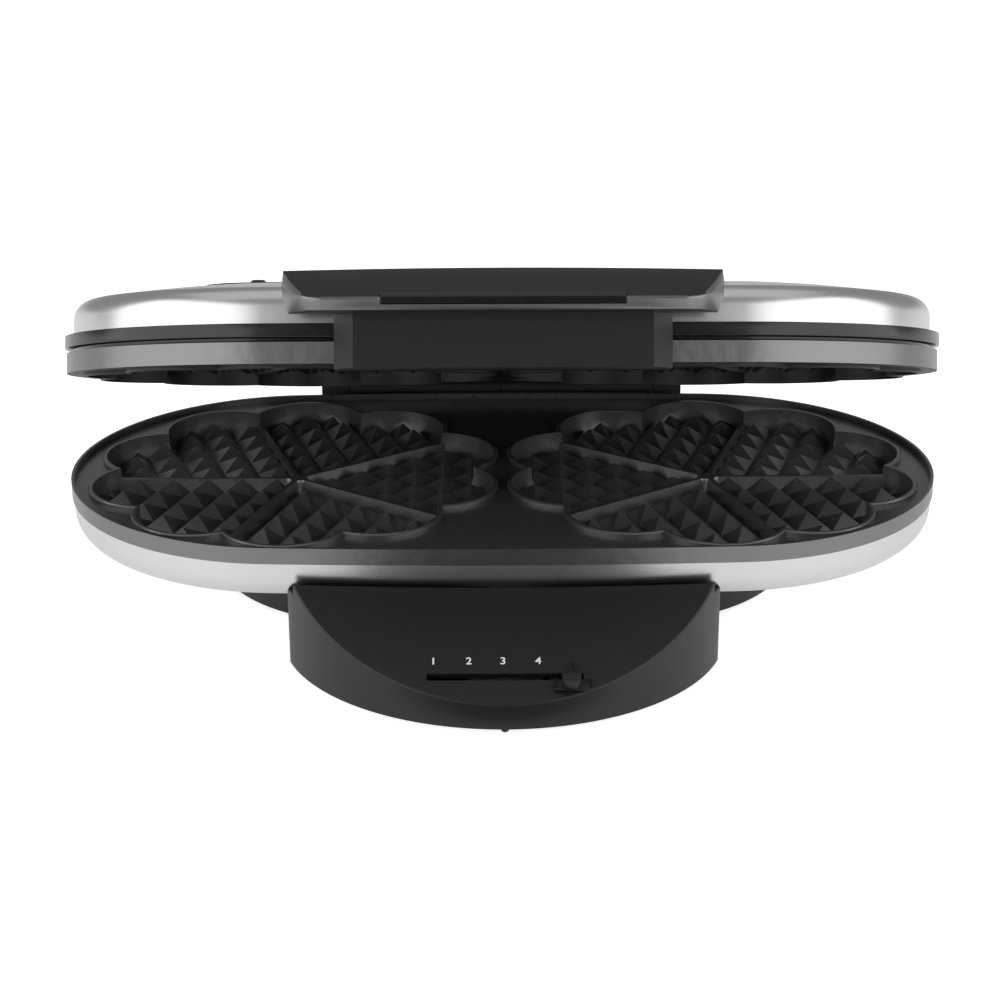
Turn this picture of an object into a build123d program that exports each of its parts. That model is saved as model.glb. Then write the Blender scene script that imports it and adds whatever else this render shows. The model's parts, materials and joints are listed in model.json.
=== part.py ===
from build123d import *
import os
from math import atan, atan2, cos, degrees, radians, sin, sqrt

# Double heart waffle maker, in millimetres, +Z up, X to the right seen from the front, Y to the back.
# Every piece is drawn about the mould centre: X = 0 between the two moulds, Y = 0 on the line of their
# centres, Z = 0 at the crest of the lower moulds' beads. put() then stands it on the table.

# ---- driving dimensions ----

# baking plates
mould_pitch = 163.5           # between the centres of the two moulds
hearts = 5                    # hearts in a mould
lobe_reach = 82.0             # mould centre to the outermost point of the bead crest
cusp_reach = 71.3             # mould centre to the notches of the bead crest
bead_width = 1.6
bead_height = 1.8             # bead crest above the lower plate's plateau
upper_bead = 1.4              # the same on the upper plate, which has no lip
bead_break = 0.5              # broken outer edge of the crest
heart_corner = 2.4            # rounding of a heart's point
rib_width = 1.7               # top of the wall between two hearts
rib_draft = 10.0              # degrees its sides lean
rib_depth = 4.3               # top of that wall below the bead crest
mould_depth = 9.6             # grooves of a heart below the bead crest
pyramid_pitch = 13.0          # between rows of pyramids
pyramid_height = 5.2
first_rows = [(8.2, 8.2), (8.2, 8.2), (12.2, 4.6), (7.7, 13.8), (9.1, 8.6)]
# heart by heart, from each of its two ribs to the first row of tips
mould_wall = 2.6              # metal under a mould
plate_half_depth = 90.3
end_flattening = 2.0          # end radius of the four-arc oval below its half depth
end_shift = 0.65              # centres of the oval's ends beyond the mould centres
plate_setback = 1.8           # oval centre behind the mould centres
lower_side = 6.3              # height of the lower plate's outer wall
upper_side = 7.8
lip_width = 1.2
lip_height = 0.7              # rim lip above the bead crest
boss_radius = 5.0             # cast posts that take the long screws
screw_radius = 1.9
screw_head_radius = 3.6
screw_head = 2.4
screw_hole = 8.0              # depth of the hole in a post

# shells
sheet = 0.9                   # steel sheet of both shells
lower_inset = 0.8             # lower shell inside the plate's outline
shell_bottom = -20.4          # its bottom at the edge
shell_edge_radius = 9.0
dish_inset = 12.0             # where the bottom starts to dish
dish_drop = 3.1
dish_slope = 9.5              # width of the dish's sloping side
lead_half_width = 22.0        # opening for the element's ends in shell and heat shield
lead_front, lead_back = 23.0, 44.0
ring_gap = 1.7                # shadow gap between upper plate and trim ring
ring_height = 4.9
ring_proud = 0.7
ring_width = 9.0
ring_foot = 3.0               # inset of the step that stands on the plate's wall
upstand_width = 2.0           # collar inside the lid shell
upstand_height = 2.0
tray_skirt = 6.4              # inset of the upper heat shield's skirt
tray_sheet = 0.8
shell_inset = 2.8             # lid shell inside the plate's outline
lid_top = 36.4                # top of the lid when it is shut
crown_rise = 6.4              # rise of the crown inside its turned edge
crown_break = 48.0            # inset of the line where the crown's slope eases
crown_flat = 78.0             # inset of the flat top
lid_edge_radius = 7.5

# hinge
crest_gap = 0.3               # between the two plates' beads when the lid is shut
hinge_y = 100.7
hinge_z = 1.0
lid_angle = 20.35             # opening of the lid as it stands
barrel_radius = 6.0
pin_radius = 2.5
hinge_half_width = 78.6
hinge_arm_width = 11.8
seam = 0.3                    # broken edge where the two halves of the barrel meet
hinge_gap = 0.4               # side play between arm and barrel
pin_seat = 22.0               # length of pin inside the fixed barrel
arm_top = 11.0                # top of an arm above the lid shell's lower edge
arm_face_y = 93.5             # seat of an arm's screw

# fits and small screws
running_fit = 0.08            # turning and sliding pieces, radial
pin_fit = 0.02                # pin pressed in the barrel, radial
seat_gap = 0.1                # between pieces that lie on one another
wall_gap = 0.2                # between the pan and the control housing
slim_screw = 1.5              # shank radius of the housing and arm screws
slim_head = 2.6
hole_play = 0.1               # radial room round a slim screw

# base
foot_height = 1.7             # rubber foot below the base
base_bottom = -46.0
wall = 2.5                    # plastic wall
pan_half_width = 116.0
pan_half_depth = 77.5
pan_flattening = 6.0          # end radius of its oval below its half depth
pan_y = 20.5
tail_half_width = 72.0
tail_back = 104.5
tail_top = -8.0
nose_radius = 84.1            # control housing in plan
nose_y = -55.3                # centre of that radius
nose_half_width = 79.2
panel_slope = 0.5             # rise over run of the sloping panel
panel_edge_y = -90.0          # a line on the panel
panel_edge_z = -11.9
ledge_reach = 3.4             # panel's upper edge outside the plate
ledge_z = -16.0               # ledge between that edge and the shell
foot_radius = 7.0
foot_stem = 1.5               # depth of a foot's recess
stem_step = 2.0               # foot's stem inside its pad
rear_foot_x, rear_foot_y = 58.0, 88.0
front_foot_x, front_foot_y = 48.0, -100.0
peg_radius = 1.5
peg_setback = 1.8             # peg behind the front edge
pillar_radius = 6.0
pillar_recess = 4.0           # depth of the recess for a base screw's head
tail_roof = 4.0
gland_x, gland_z = 40.0, -30.0
gland_radius = 6.0
gland_bore = 3.6

# slider
slot_y = -128.3
slot_width = 3.0
slot_left = -27.4
slot_right = 27.5
slider_rest = 23.9            # knob's place on the panel
slider_travel = 49.0
ramp_rise = 2.2               # ramp over the slider's whole travel

# handle, in closed-lid coordinates
bar_front = -114.0
bar_back = -94.5
bar_bottom = 18.7
bar_lip = 23.4                # top of the front lip
bar_slope = 0.6
bar_half_width = 76.6
bar_corner = 3.5
facet_top = 14.0              # facet at each end of the grip: how far in it starts on the lip
facet_foot = 3.1              # and on the underside
block_front = -104.0
block_half_width = 59.8
block_bottom = -1.4
block_chamfer = 7.2
block_rise = 9.0              # block's rear part above the bar's underside
inlay_half_width = 42.4
inlay_height = 2.5
inlay_depth = 3.0
inlay_gap = 0.15

# ---- derived places ----
parting = crest_gap / 2
mould_x = mould_pitch / 2
plate_end_radius = plate_half_depth - end_flattening
plate_half_width = mould_x + end_shift + plate_end_radius
plate_front = plate_setback - plate_half_depth
plate_foot = lip_height - lower_side
shell_top = plate_foot - seat_gap
pan_end_radius = pan_half_depth - pan_flattening
pan_front = pan_y - pan_half_depth
table = base_bottom - foot_height
nose_reach = nose_radius - nose_y
mould_y = (nose_reach - hinge_y - barrel_radius) / 2
tilt = degrees(atan(panel_slope))
plate_screws = [(-mould_x, 0), (mould_x, 0)]
pan_radius = lobe_reach + bead_width / 2 + 0.6
pan_bottom = -mould_depth - mould_wall
floor_top = shell_bottom - dish_drop + sheet
upper_back = 2 * parting + upper_bead + upper_side
ring_low = upper_back + ring_gap
lid_low = ring_low + ring_height
arm_inner = hinge_half_width - hinge_arm_width
arm_middle = hinge_half_width - hinge_arm_width / 2
handle_screw_x = (-36, 36)
housing_screw_x = (-14, 14)
housing_screw_z = base_bottom + 9
side_screw_z = lid_low + 4.7  # screws through the lid shell's wall
os.makedirs("parts", exist_ok=True)


def put(piece):
    """Stand a piece of the base on the table, with the whole object's box centred on the origin."""
    return Pos(0, mould_y, -table) * piece


def put_lid(piece):
    """The same for a piece of the lid, drawn shut and swung open about the hinge."""
    axis = Axis((0, hinge_y, hinge_z), (1, 0, 0))
    return put(piece.rotate(axis, -lid_angle))


def save(name, *pieces):
    solids = [solid for piece in pieces for solid in piece.solids()]
    shape = solids[0] if len(solids) == 1 else Compound(children=solids)
    export_step(shape, f"parts/{name}.step")


def oval(half_width, half_depth, end_radius, inset=0.0, y=0.0):
    """Four-arc oval, all its arcs tangent; inset moves the outline inwards by that much."""
    a, b, r = half_width - inset, half_depth - inset, end_radius - inset
    side = ((a - r) ** 2 + b ** 2 - r ** 2) / (2 * (b - r))
    turn = degrees(atan2(side - b, a - r))
    arcs = [
        CenterArc((a - r, 0), r, -turn, 2 * turn),
        CenterArc((0, b - side), side, turn, 180 - 2 * turn),
        CenterArc((r - a, 0), r, 180 - turn, 2 * turn),
        CenterArc((0, side - b), side, 180 + turn, 180 - 2 * turn),
    ]
    return Pos(0, y) * make_face(arcs)


def plate_oval(inset=0.0):
    return oval(plate_half_width, plate_half_depth, plate_end_radius, inset, plate_setback)


def slab(face, low, high):
    """A flat outline stood between two heights."""
    return extrude(Pos(0, 0, low) * face, amount=high - low)


def block(x0, x1, y0, y1, z0, z1):
    return Pos((x0 + x1) / 2, (y0 + y1) / 2, (z0 + z1) / 2) * Box(x1 - x0, y1 - y0, z1 - z0)


def post(x, y, low, high, radius):
    return Pos(x, y, (low + high) / 2) * Cylinder(radius, high - low)


def rod_x(x0, x1, y, z, radius):
    """Round bar along X."""
    return Pos((x0 + x1) / 2, y, z) * Rot(0, 90, 0) * Cylinder(radius, x1 - x0)


def along_y(x, y0, y1, z, radius):
    """Round bar along Y."""
    return Pos(x, (y0 + y1) / 2, z) * Rot(90, 0, 0) * Cylinder(radius, y1 - y0)


def side_profile(points, x0, x1):
    """A (y, z) outline stood between two places along X."""
    face = make_face(Polyline(*[(0, y, z) for y, z in points], close=True))
    return extrude(Pos(x0, 0, 0) * face, amount=x1 - x0, dir=(1, 0, 0))


# ---- moulds and plates ----
half_turn = 180 / hearts
lobe_radius = ((cusp_reach * sin(radians(half_turn / 2))) ** 2
               + (lobe_reach - cusp_reach * cos(radians(half_turn / 2))) ** 2) / (
                   2 * (lobe_reach - cusp_reach * cos(radians(half_turn / 2))))
lobe_centre = lobe_reach - lobe_radius


def flower(grow):
    """Scalloped outline of one mould with two lobes to a heart, grown from the bead crest."""
    face = Circle(lobe_centre + grow / 2)
    for k in range(2 * hearts):
        face += Rot(0, 0, half_turn * (k + 0.5)) * Pos(lobe_centre, 0) * Circle(lobe_radius + grow)
    return face


def heart_outline():
    """One heart between its two ribs, point at the mould centre, notch towards +X."""
    far = 2 * lobe_reach
    tip = rib_width / 2 / sin(radians(half_turn))
    rise = (far - tip) * sin(radians(half_turn)) / cos(radians(half_turn))
    wedge = make_face(Polyline((tip, 0), (far, rise), (far, -rise), close=True))
    heart = wedge & flower(-bead_width / 2)
    point = [v for v in heart.vertices() if v.X < lobe_centre / 2]
    return fillet(point, heart_corner)


def ridges(direction, first):
    """Rows of V-shaped ridges along one rib of a heart, the first tips that far from the rib's middle."""
    valley, high = -mould_depth, pyramid_height - mould_depth
    rows = int(lobe_reach * 1.4 / pyramid_pitch)
    points = [(first - 1.5 * pyramid_pitch, valley - 1)]
    for n in range(rows):
        left = first + (n - 1.5) * pyramid_pitch
        points += [(left, valley), (left + pyramid_pitch / 2, high)]
    points.append((points[-1][0] + 1, valley - 1))
    comb = make_face(Polyline(*[(0, direction * -across, z) for across, z in points], close=True))
    bar = extrude(comb, amount=lobe_reach * 1.2, dir=(1, 0, 0))
    return Rot(0, 0, direction * half_turn) * bar


def heart_cavities():
    """Hollows of the left mould's hearts, sides drafted, with their fields of pyramids left standing."""
    hollow = extrude(heart_outline(), amount=mould_depth + 0.5 - rib_depth, dir=(0, 0, -1), taper=rib_draft)
    hollow = Pos(0, 0, -rib_depth) * hollow
    return [Rot(0, 0, 2 * half_turn * k) * (hollow - (ridges(1, one) & ridges(-1, other)))
            for k, (one, other) in enumerate(first_rows)]


cavities = [slab(flower(-bead_width / 2), -rib_depth, 1)] + heart_cavities()


def baking_plate(bead_drop, foot):
    """Plate with its moulds facing up: plateau, two moulds of five hearts, screw posts on the back."""
    plateau = -bead_drop
    body = slab(plate_oval(), foot, plateau)
    bead = slab(flower(bead_width / 2), plateau - 1, 0)
    bead = chamfer([e for e in bead.edges() if e.center().Z > -0.01], bead_break)
    for side in (-1, 1):
        body += post(side * mould_x, 0, pan_bottom, plateau - 1, pan_radius)
        body += Pos(side * mould_x, 0, 0) * (bead if side < 0 else bead.mirror(Plane.YZ))
        for cavity in cavities:
            body -= Pos(side * mould_x, 0, 0) * (cavity if side < 0 else cavity.mirror(Plane.YZ))
    for x, y in plate_screws:
        body += post(x, y, floor_top, pan_bottom + 0.5, boss_radius)
        body -= post(x, y, floor_top - 1, floor_top + screw_hole, screw_radius + 0.05)
    return body


lip = slab(plate_oval() - plate_oval(lip_width), -bead_height, lip_height)
lower_plate = baking_plate(bead_height, plate_foot) + lip
upper_plate = baking_plate(upper_bead, -upper_bead - upper_side).mirror(Plane.XY.offset(parting))
save("lower_plate", put(lower_plate))
save("upper_plate", put_lid(upper_plate))


# ---- shells ----

def turned_edge(inset, height, radius, angles):
    """Levels (inset, height) of a plate oval whose edge turns inwards and up along a quarter circle."""
    return [(inset + radius * (1 - cos(radians(a))), height + radius * sin(radians(a))) for a in angles]


def stacked(levels):
    """A closed form with straight sides between plate ovals, given as (inset, height) levels."""
    return loft([Pos(0, 0, z) * plate_oval(inset) for inset, z in levels], ruled=True)


def shell_envelope(gap=0.0, angles=(0, 30, 60, 90)):
    """Outer form of the lower shell: upright wall, turned edge, dished bottom."""
    inset, low = lower_inset - gap, shell_bottom - gap
    edge = turned_edge(inset, -low - shell_edge_radius, shell_edge_radius, angles)
    levels = [(x, -z) for x, z in edge]
    levels.append((inset + dish_inset, low))
    levels.append((inset + dish_inset + dish_slope, low - dish_drop))
    return stacked([(inset, shell_top + 40)] + levels)


def lower_shell():
    shell = shell_envelope() - shell_envelope(-sheet, (0, 45, 90))
    shell -= block(-300, 300, -300, 300, shell_top, 100)
    for x, y in plate_screws:
        shell -= post(x, y, shell_bottom - 20, 0, screw_radius + 0.4)
    shell -= block(-lead_half_width, lead_half_width, lead_front, lead_back, shell_bottom - 20, shell_bottom)
    return shell


def lid_envelope(inset=0.0, angles=(0, 30, 60, 86)):
    """Closed form of the lid shell: upright wall, turned edge, shallow crown."""
    side, top = shell_inset + inset, lid_top - inset
    levels = [(side, lid_low)]
    levels += turned_edge(side, top - crown_rise - lid_edge_radius, lid_edge_radius, angles)
    levels.append((crown_break, top - crown_rise / 4))
    levels.append((crown_flat, top))
    return stacked(levels)


save("lower_shell", put(lower_shell()))


def trim_ring():
    """Black ring that carries the lid shell, with a step that stands on the plate's wall."""
    ring = slab(plate_oval(-ring_proud) - plate_oval(ring_width), ring_low, lid_low)
    ring += slab(plate_oval(ring_foot) - plate_oval(ring_width), upper_back, ring_low)
    inner = shell_inset + sheet + seat_gap
    collar = plate_oval(inner) - plate_oval(inner + upstand_width)
    ring += slab(collar, lid_low, lid_low + upstand_height)
    for side in (-1, 1):
        ring -= post(side * mould_x, 0, upper_back - 1, 2 * parting - pan_bottom + 0.4, pan_radius + 0.4)
    return ring


save("lid_trim_ring", put_lid(trim_ring()))


# ---- heating ----
tube_width = 6.5
tube_span = 45.0
tube_reach = mould_x + 46.0
tube_bend = 30.0
tube_z = pan_bottom - tube_width / 2 - seat_gap
lead_x = 10.0                 # inner side of a cold end


def heating_element():
    """Element of square section: one loop under both moulds, its cold ends turned in at the back."""
    half = tube_width / 2
    loops = [RectangleRounded(2 * (tube_reach + grow), 2 * (tube_span + grow), tube_bend + grow)
             for grow in (half, -half)]
    body = slab(loops[0] - loops[1], tube_z - half, tube_z + half)
    body -= block(-lead_x, lead_x, 0, 2 * tube_span, tube_z - half - 1, tube_z + half + 1)
    for side in (-1, 1):
        x0, x1 = sorted((side * lead_x, side * (lead_x + tube_width)))
        body += block(x0, x1, lead_front + 1, tube_span - half, tube_z - half, tube_z + half)
    return body


def tube_clamps():
    """Sheet straps that press the element against the moulds."""
    straps = []
    for x in (-mould_x, mould_x):
        for y in (-tube_span, tube_span):
            strap = block(x - 5, x + 5, y - 9, y + 9, pan_bottom - 0.8, pan_bottom)
            hump = block(x - 5, x + 5, y - 4.3, y + 4.3, tube_z - tube_width / 2 - 0.9, pan_bottom)
            room = block(x - 6, x + 6, y - 3.4, y + 3.4, tube_z - tube_width / 2 - seat_gap, 0)
            straps.append(strap + hump - room)
    return straps


def reflector():
    """Heat shield tray between the element and the shell, on the screw posts."""
    top = tube_z - tube_width / 2 - 1.1
    tray = slab(oval(mould_x + 62, 60, 56, 0, plate_setback), top - 0.6, top)
    for x, y in plate_screws:
        tray -= post(x, y, top - 2, top + 2, boss_radius + 0.2)
    return tray - block(-lead_half_width, lead_half_width, lead_front, lead_back, top - 2, top + 2)


heater = heating_element()
clamps = tube_clamps()
shield = reflector()
flip = Plane.XY.offset(parting)
save("lower_heater", put(heater))
save("lower_heater_clamps", *[put(c) for c in clamps])
save("lower_reflector", put(shield))
save("upper_heater", put_lid(heater.mirror(flip)))
save("upper_heater_clamps", *[put_lid(c.mirror(flip)) for c in clamps])


def lid_tray():
    """Upper heat shield, wide enough to bear on the trim ring, with the lid's screws through it."""
    low = 2 * parting - floor_top
    tray = slab(plate_oval(tray_skirt), low, low + tray_sheet)
    tray += slab(plate_oval(tray_skirt) - plate_oval(tray_skirt + tray_sheet), lid_low, low)
    for x, y in plate_screws:
        tray -= post(x, y, low - 2, low + 2, screw_radius + 0.3)
    return tray


def lid_screws():
    seat = 2 * parting - floor_top + tray_sheet
    return [post(x, y, seat - screw_hole + 0.5, seat, screw_radius)
            + slab(Pos(x, y) * RegularPolygon(screw_head_radius, 6), seat, seat + screw_head)
            for x, y in plate_screws]


save("upper_reflector", put_lid(lid_tray()))
save("lid_plate_screws", *[put_lid(s) for s in lid_screws()])


# ---- base ----
def pan_outline(inset=0.0):
    tail = Pos(0, (pan_y + tail_back) / 2) * RectangleRounded(
        2 * (tail_half_width - inset), tail_back - pan_y - 2 * inset, 8 - inset)
    return oval(pan_half_width, pan_half_depth, pan_end_radius, inset, pan_y) + tail


def base_pan():
    """Black pan under the shell; its tail rises behind the shell to carry the hinge."""
    body = slab(pan_outline(), base_bottom, tail_top)
    body -= slab(pan_outline(wall), base_bottom + wall, tail_top - tail_roof)
    body -= shell_envelope(seat_gap)
    for x, y in plate_screws:
        body += post(x, y, base_bottom, shell_bottom - dish_drop - seat_gap, pillar_radius)
    for x, y in plate_screws:
        body -= post(x, y, base_bottom - 1, shell_bottom, screw_radius + 0.15)
        body -= post(x, y, base_bottom - 1, base_bottom + pillar_recess, screw_head_radius + 0.3)
    for x in (-rear_foot_x, rear_foot_x):
        body -= post(x, rear_foot_y, base_bottom - 1, base_bottom + foot_stem, foot_radius - stem_step)
    body -= along_y(gland_x, tail_back - 10, tail_back + 1, gland_z, gland_radius + seat_gap)
    for x in housing_screw_x:
        body -= along_y(x, pan_front - 2, pan_front + wall + 2, housing_screw_z, slim_screw + hole_play)
    return body


def panel_wedge(depth):
    """Everything above the sloping panel's surface, lowered by that depth along its normal."""
    drop = depth * sqrt(1 + panel_slope ** 2)
    front, back = -170.0, 60.0
    z_front = panel_edge_z + panel_slope * (front - panel_edge_y) - drop
    z_back = panel_edge_z + panel_slope * (back - panel_edge_y) - drop
    return side_profile([(front, z_front), (back, z_back), (back, 80), (front, 80)], -150, 150)


def nose_outline(inset=0.0):
    back = -30.0
    disc = Pos(0, nose_y) * Circle(nose_radius - inset)
    strip = Pos(0, (back - 170) / 2) * Rectangle(2 * (nose_half_width - inset), back + 170)
    reach = sqrt(nose_radius ** 2 - nose_half_width ** 2)
    side = Pos(0, (nose_y - reach + back) / 2) * Rectangle(
        2 * (nose_half_width - inset), back - nose_y + reach)
    return (disc & strip) + side


def control_housing():
    """D-shaped housing in front of the pan: sloping panel on top, slot for the slider."""
    body = slab(nose_outline(), base_bottom, 0) - panel_wedge(0)
    rim = [e for e in body.edges()
           if e.geom_type == GeomType.ELLIPSE and e.center().Y < nose_y - 20]
    body = chamfer(rim, 0.5)
    room = slab(nose_outline(wall), base_bottom + wall, 0) - panel_wedge(wall)
    body -= room
    body -= slab(pan_outline(-wall_gap), base_bottom - 1, 10)
    body -= shell_envelope(seat_gap)
    body -= slab(plate_oval(-ledge_reach), ledge_z, 10)
    body -= to_panel(block(slot_left, slot_right, -slot_width / 2, slot_width / 2, -8, 8))
    for x in (-front_foot_x, front_foot_x):
        body -= post(x, front_foot_y, base_bottom - 1, base_bottom + foot_stem, foot_radius - stem_step)
    back_wall = slab(pan_outline(-wall_gap - wall) - pan_outline(-wall_gap), base_bottom, 0)
    back_wall = back_wall & slab(nose_outline(), base_bottom, 0)
    body += back_wall - panel_wedge(0) - shell_envelope(seat_gap)
    outside = pan_front - wall_gap
    for x in housing_screw_x:
        body -= along_y(x, outside - wall - 2, outside + 2, housing_screw_z, slim_screw + hole_play)
    return body


slot_z = panel_edge_z + panel_slope * (slot_y - panel_edge_y)


def to_panel(piece):
    """Place a piece drawn on the panel: X along the slot, Y up the slope, Z out of the panel."""
    return Pos(0, slot_y, slot_z) * Rot(tilt, 0, 0) * piece


save("base_pan", put(base_pan()))
save("control_housing", put(control_housing()))


def base_screw(x, y):
    seat = base_bottom + pillar_recess
    tip = floor_top + screw_hole - 1
    return post(x, y, seat - screw_head, seat, screw_head_radius) + post(x, y, seat, tip, screw_radius)


save("base_screws", *[put(base_screw(x, y)) for x, y in plate_screws])


def foot(x, y):
    """Rubber foot with a stem in the moulding."""
    pad = post(x, y, table, base_bottom, foot_radius)
    return pad + post(x, y, base_bottom, base_bottom + foot_stem - 0.1, foot_radius - stem_step - 0.1)


feet = [foot(side * x, y) for x, y in ((rear_foot_x, rear_foot_y), (front_foot_x, front_foot_y))
        for side in (-1, 1)]
save("rubber_feet", *[put(f) for f in feet])
peg = post(0, peg_setback - nose_reach, table, base_bottom, peg_radius)
save("front_peg", put(chamfer([e for e in peg.edges() if e.center().Z < table + 0.01], 0.8)))


# ---- slider and thermostat ----
ramp_slope = ramp_rise / slider_travel
plunger_v = 17.0
carriage_top = -wall - 0.3
ramp_seat = -6.4              # ramp's underside over the plunger, as the slider stands


def slider_knob():
    """Grip block on a thin foot with turned-up ends, and a ridge that points to the numbers."""
    foot_plate = block(-6.9, 6.9, -6.8, -2.0, 0.35, 1.35)
    ends = [Pos(side * 6.3, -4.4, 1.1) * Rot(0, side * -38, 0) * Box(2.4, 4.8, 0.9) for side in (-1, 1)]
    grip = block(-3.7, 3.7, -6.8, -3.2, 0.35, 7.2)
    grip = chamfer(grip.edges().filter_by(Axis.Y), 0.7)
    ridge = loft([
        Plane.XZ.offset(3.3) * Pos(0, 3.5) * Rectangle(6.6, 6.2),
        Plane.XZ.offset(-9.2) * Pos(0, 0.8) * Rectangle(1.0, 0.8),
    ])
    knob = foot_plate + grip + ridge
    for end in ends:
        knob += end
    knob -= block(-10, 10, -10, 10, -5, 0.3)
    knob -= block(-2.2, 2.2, -1.3, 1.3, 0, 3.2)
    return Pos(slider_rest, 0, 0) * knob


def slider_carriage():
    """Runner under the panel: stem up through the slot, ramp on its far edge."""
    stem = block(-2.0, 2.0, -1.1, 1.1, carriage_top - 1, 3.1)
    runner = block(-8, 8, -3, plunger_v + 2, carriage_top - 2, carriage_top)
    left, right = -slider_rest - 3.5, slider_travel - slider_rest + 3.5
    ends = [(x, ramp_seat - (x + slider_rest) * ramp_slope) for x in (left, right)]
    face = make_face(Polyline(
        (left, 0, carriage_top), (left, 0, ends[0][1]), (right, 0, ends[1][1]),
        (right, 0, carriage_top), close=True))
    ramp = Pos(0, plunger_v + 2, 0) * extrude(face, amount=4, dir=(0, -1, 0))
    return Pos(slider_rest, 0, 0) * (stem + runner + ramp)


def thermostat_plunger():
    pin = Pos(0, plunger_v, (ramp_seat - 0.05 - 15) / 2) * Cylinder(2.0, 15 + ramp_seat - 0.05)
    return chamfer([e for e in pin.edges() if e.center().Z > ramp_seat - 1], 0.8)


def thermostat():
    body = block(-14, 14, 13.5, 22, -19.5, -11.5)
    body = fillet(body.edges().filter_by(Axis.Z), 1.2)
    body -= Pos(0, plunger_v, -14.5) * Cylinder(2.0 + running_fit, 6.2)
    for side in (-1, 1):
        body += block(min(side * 12, side * 20), max(side * 12, side * 20), 16, 20, -14.4, -13.6)
    return body


def thermostat_bracket():
    """Sheet bracket that stands on the housing's floor."""
    cradle = to_panel(block(-12, 12, 13.6, 24, -20.3, -19.5))
    foot_y = slot_y + 24 * cos(radians(tilt)) + 20 * sin(radians(tilt))
    floor = base_bottom + wall
    leg = block(-12, 12, foot_y - 0.9, foot_y - 0.1, floor, slot_z + 24 * sin(radians(tilt)) - 17.9)
    return cradle + leg + block(-12, 12, foot_y - 0.9, foot_y + 8, floor, floor + 0.8)


save("slider_knob", put(to_panel(slider_knob())))
save("slider_carriage", put(to_panel(slider_carriage())))
save("thermostat_plunger", put(to_panel(thermostat_plunger())))
save("thermostat", put(to_panel(thermostat())))
save("thermostat_bracket", put(thermostat_bracket()))
fuse_half_length, fuse_y, fuse_radius = 11, 70, 1.95
save("thermal_fuse", put(rod_x(-fuse_half_length, fuse_half_length, fuse_y,
                               plate_foot - fuse_radius - seat_gap, fuse_radius)))
terminal_x, terminal_y = 33, 62
terminal_step, terminal_depth, terminal_height = 8, 12, 11
floor = base_bottom + wall
terminals = block(terminal_x - 13, terminal_x + 13, terminal_y - terminal_depth / 2,
                  terminal_y + terminal_depth / 2, floor, floor + terminal_height)
terminals -= [post(terminal_x + n * terminal_step, terminal_y, floor + 5, floor + terminal_height + 1, 2.2)
              for n in (-1, 0, 1)]
save("terminal_block", put(terminals))


def cord_gland():
    """Bushing in the tail's back wall, its bore open for a mains lead."""
    inside = tail_back - wall - seat_gap
    body = along_y(gland_x, inside - 3, tail_back + 2, gland_z, gland_radius)
    body += along_y(gland_x, tail_back, tail_back + 2, gland_z, gland_radius + 2)
    body += along_y(gland_x, inside - 2, inside, gland_z, gland_radius + 1.5)
    return body - along_y(gland_x, inside - 10, tail_back + 10, gland_z, gland_bore)


save("cord_gland", put(cord_gland()))


def housing_screw(x):
    seat = pan_front - wall_gap - wall
    head = along_y(x, seat - 2, seat, housing_screw_z, slim_head)
    return head + along_y(x, seat, seat + 7, housing_screw_z, slim_screw)


save("housing_screws", *[put(housing_screw(x)) for x in housing_screw_x])


# ---- hinge ----


def hinge_bracket(side):
    """Half of the fixed barrel with the web and foot that stand on the pan's tail."""
    x0, x1 = sorted((0, side * (arm_inner - hinge_gap)))
    web = side_profile([(hinge_y - 4.4, hinge_z), (hinge_y - 4.4, tail_top), (hinge_y + 3.4, tail_top),
                        (hinge_y + 3.4, hinge_z)], x0, x1)
    barrel = rod_x(x0, x1, hinge_y, hinge_z, barrel_radius)
    barrel = chamfer([e for e in barrel.edges() if abs(e.center().X) < 0.01], seam)
    bracket = barrel + web
    return bracket - rod_x(-200, 200, hinge_y, hinge_z, pin_radius + pin_fit)


def hinge_arm(side):
    """Lid arm: an eye round the pin and a shank up the back of the lid."""
    x0, x1 = sorted((side * arm_inner, side * hinge_half_width))
    shank = side_profile([
        (hinge_y - 5.2, hinge_z + 2.5), (hinge_y - 7.7, hinge_z + 9), (hinge_y - 14.7, lid_low),
        (hinge_y - 14.7, lid_low + arm_top), (arm_face_y, lid_low + arm_top), (hinge_y + 1.5, hinge_z + 12),
        (hinge_y + 5.9, hinge_z + 1),
    ], x0, x1)
    arm = rod_x(x0, x1, hinge_y, hinge_z, barrel_radius) + shank
    arm -= slab(plate_oval(-ring_proud - seat_gap), hinge_z - 10, lid_low + seat_gap)
    arm -= slab(plate_oval(shell_inset - seat_gap), lid_low, 60)
    arm -= along_y(side * arm_middle, 70, 110, side_screw_z, slim_screw + hole_play)
    arm -= along_y(side * arm_middle, arm_face_y, 110, side_screw_z, slim_head + hole_play)
    return arm - rod_x(-200, 200, hinge_y, hinge_z, pin_radius + running_fit)


def hinge_pin(side):
    x0, x1 = sorted((side * (arm_inner - pin_seat), side * hinge_half_width))
    return rod_x(x0, x1, hinge_y, hinge_z, pin_radius)


for name, side in (("left", -1), ("right", 1)):
    save(f"hinge_bracket_{name}", put(hinge_bracket(side)))
    save(f"lid_hinge_arm_{name}", put_lid(hinge_arm(side)))
save("hinge_pins", *[put(hinge_pin(side)) for side in (-1, 1)])


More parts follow.
